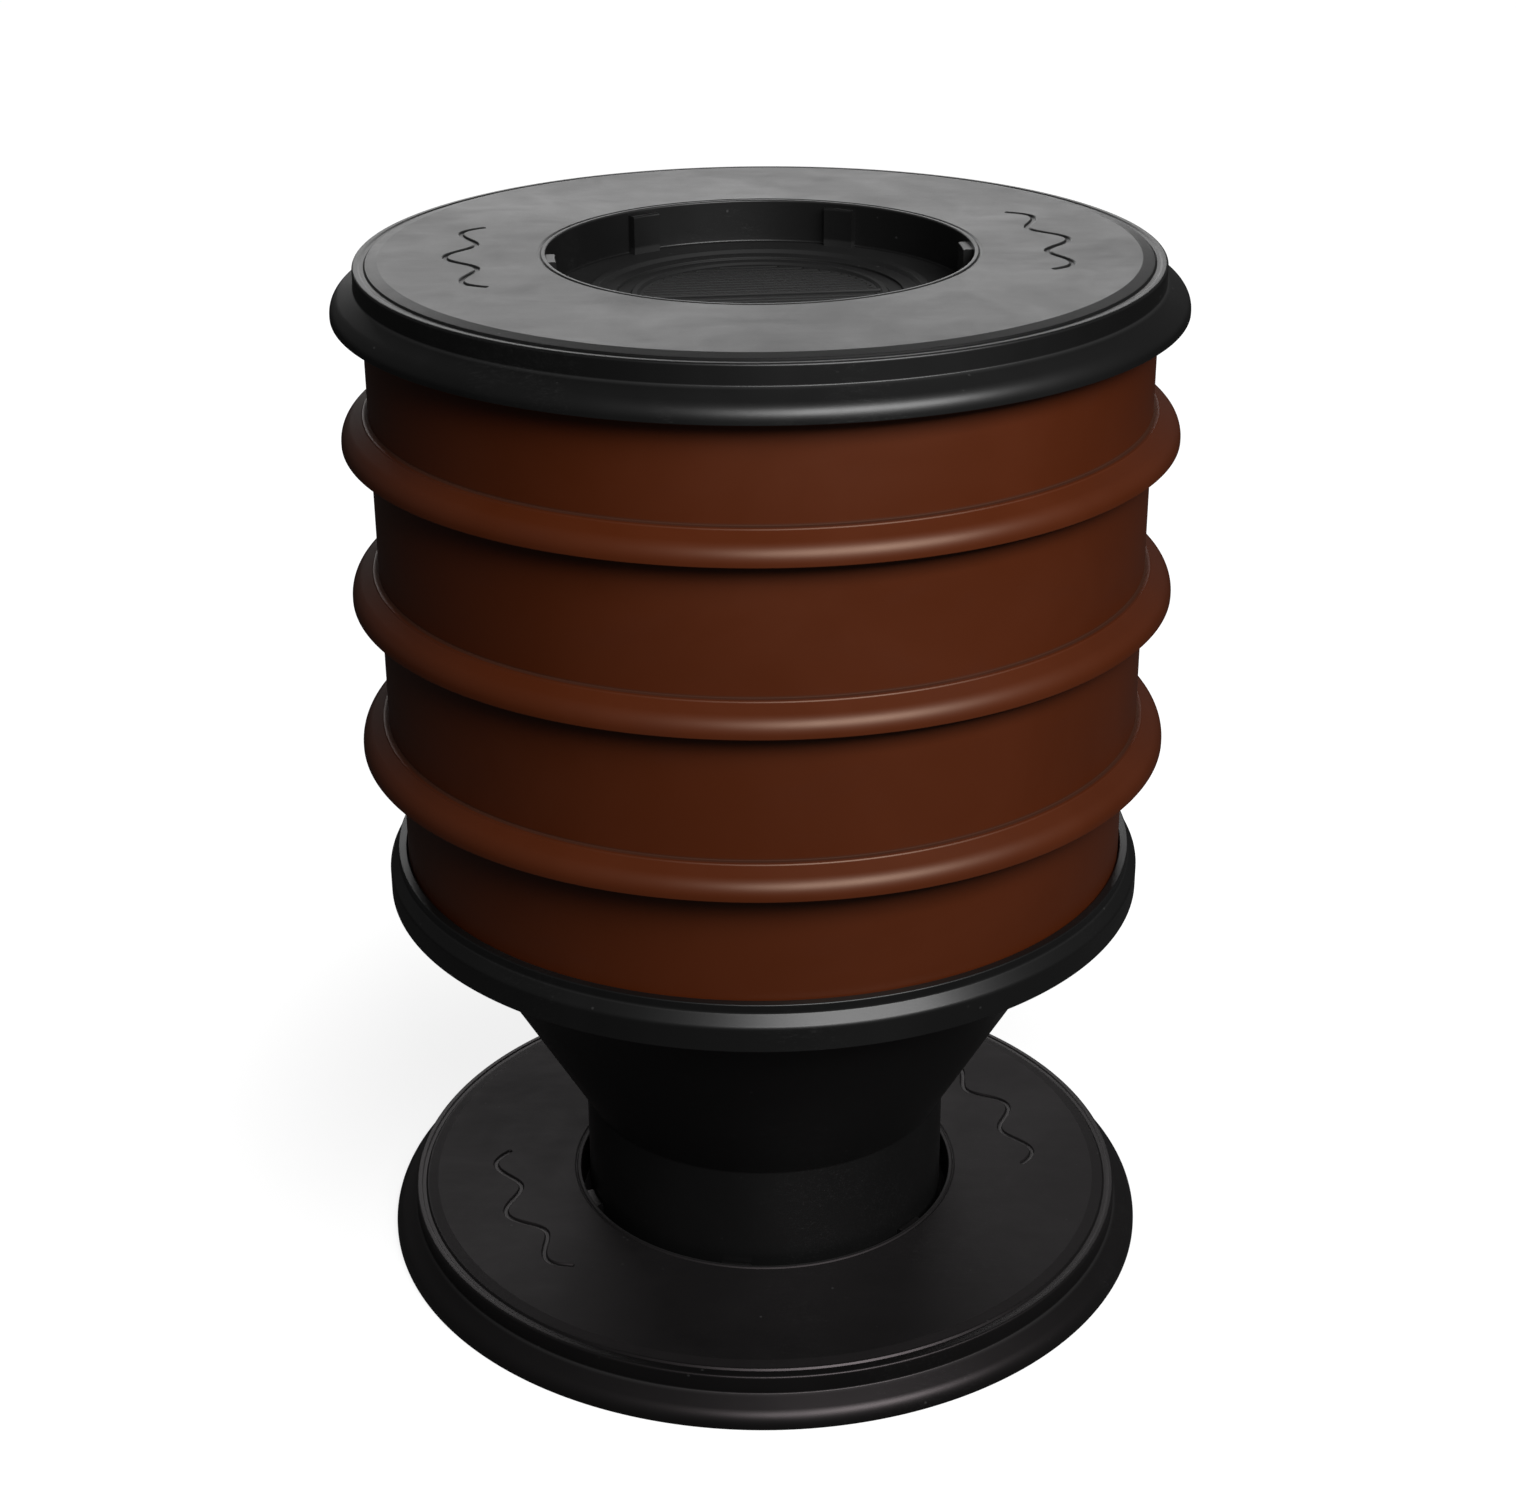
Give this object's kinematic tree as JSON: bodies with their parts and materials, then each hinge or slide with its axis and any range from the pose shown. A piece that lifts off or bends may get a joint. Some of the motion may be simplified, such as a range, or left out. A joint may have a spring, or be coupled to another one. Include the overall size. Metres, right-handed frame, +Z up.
{
  "type": "wormery",
  "caption": "Round stacking wormery: vented lid, nested worm trays with perforated floors, and a funnel sump whose neck plugs into a wide foot plate.",
  "frame": {"origin": "centre of the ground plane under the foot plate", "axes": "+Z up along the stack's axis, front towards -Y, +X to the right seen from the front"},
  "size_m": [0.5, 0.5, 0.655],
  "materials": {
    "black_plastic": "satin moulded polypropylene, lightly scuffed",
    "brown_plastic": "semi-gloss moulded polypropylene, dark chocolate brown"
  },
  "bodies": {
    "lid": {"lid": "black_plastic"},
    "tray_1": {"tray_1": "brown_plastic"},
    "tray_2": {"tray_2": "brown_plastic"},
    "tray_3": {"tray_3": "brown_plastic"},
    "sump": {"sump": "black_plastic"},
    "foot_plate": {"foot_plate": "black_plastic"}
  },
  "joints": [
    {"name": "sump_lift", "type": "slide", "parent": "foot_plate", "child": "sump", "axis": [0, 0, 1], "range_m": [0, 0.05]},
    {"name": "tray_3_lift", "type": "slide", "parent": "sump", "child": "tray_3", "axis": [0, 0, 1], "range_m": [0, 0.05]},
    {"name": "tray_2_lift", "type": "slide", "parent": "tray_3", "child": "tray_2", "axis": [0, 0, 1], "range_m": [0, 0.12]},
    {"name": "tray_1_lift", "type": "slide", "parent": "tray_2", "child": "tray_1", "axis": [0, 0, 1], "range_m": [0, 0.12]},
    {"name": "lid_lift", "type": "slide", "parent": "tray_1", "child": "lid", "axis": [0, 0, 1], "range_m": [0, 0.1]}
  ]
}
